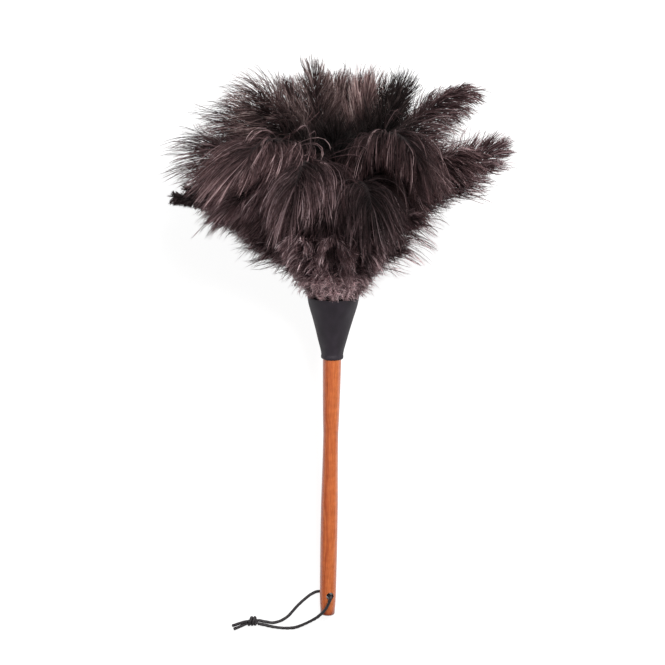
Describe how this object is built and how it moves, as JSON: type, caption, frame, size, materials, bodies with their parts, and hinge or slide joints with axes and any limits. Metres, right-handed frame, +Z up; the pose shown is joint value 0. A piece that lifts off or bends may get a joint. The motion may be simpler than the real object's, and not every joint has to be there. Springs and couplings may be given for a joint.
{
  "type": "feather duster",
  "caption": "Feather duster: a splayed head of dark ostrich plumes, bound into a leather ferrule on a turned wooden handle with a hanging cord, lying at rest.",
  "frame": {"origin": "middle of the bounding box's underside, on the table, leaving out the hanging cord", "axes": "+Y along the duster towards the plumes, +Z up from the table it lies on, +X to the right"},
  "size_m": [0.3412, 0.5744, 0.2338],
  "materials": {
    "varnished_wood": "orange-brown stained hardwood with lengthwise grain under a satin varnish",
    "black_leather": "thin matt black leather with a fine grain",
    "binding_wire": "soft galvanised binding wire",
    "plume_core": "soft ostrich barbs, brown-grey with paler tips",
    "plume_inner": "soft ostrich barbs, dark brown-black with mauve-grey highlights",
    "plume_middle": "soft ostrich barbs, dark brown-grey with mauve-grey highlights",
    "plume_outer": "soft ostrich barbs, grey-brown, downy near the ferrule",
    "leather_cord": "round waxed black leather cord"
  },
  "bodies": {
    "root": {"handle": "varnished_wood", "ferrule": "black_leather", "binding_core": "binding_wire", "binding_inner": "binding_wire", "binding_middle": "binding_wire", "binding_outer": "binding_wire", "plume_core_01": "plume_core", "plume_core_02": "plume_core", "plume_core_03": "plume_core", "plume_core_04": "plume_core", "plume_core_05": "plume_core", "plume_core_06": "plume_core", "plume_inner_01": "plume_inner", "plume_inner_02": "plume_inner", "plume_inner_03": "plume_inner", "plume_inner_04": "plume_inner", "plume_inner_05": "plume_inner", "plume_inner_06": "plume_inner", "plume_inner_07": "plume_inner", "plume_inner_08": "plume_inner", "plume_inner_09": "plume_inner", "plume_inner_10": "plume_inner", "plume_inner_11": "plume_inner", "plume_inner_12": "plume_inner", "plume_middle_01": "plume_middle", "plume_middle_02": "plume_middle", "plume_middle_03": "plume_middle", "plume_middle_04": "plume_middle", "plume_middle_05": "plume_middle", "plume_middle_06": "plume_middle", "plume_middle_07": "plume_middle", "plume_middle_08": "plume_middle", "plume_middle_09": "plume_middle", "plume_middle_10": "plume_middle", "plume_middle_11": "plume_middle", "plume_middle_12": "plume_middle", "plume_outer_01": "plume_outer", "plume_outer_02": "plume_outer", "plume_outer_03": "plume_outer", "plume_outer_04": "plume_outer", "plume_outer_05": "plume_outer", "plume_outer_06": "plume_outer", "plume_outer_07": "plume_outer", "plume_outer_08": "plume_outer", "plume_outer_09": "plume_outer", "plume_outer_10": "plume_outer", "plume_outer_11": "plume_outer", "plume_outer_12": "plume_outer", "cord_front_leg": "leather_cord", "cord_back_leg": "leather_cord", "cord_knot": "leather_cord", "cord_tail_upper": "leather_cord", "cord_tail_lower": "leather_cord"}
  },
  "joints": []
}
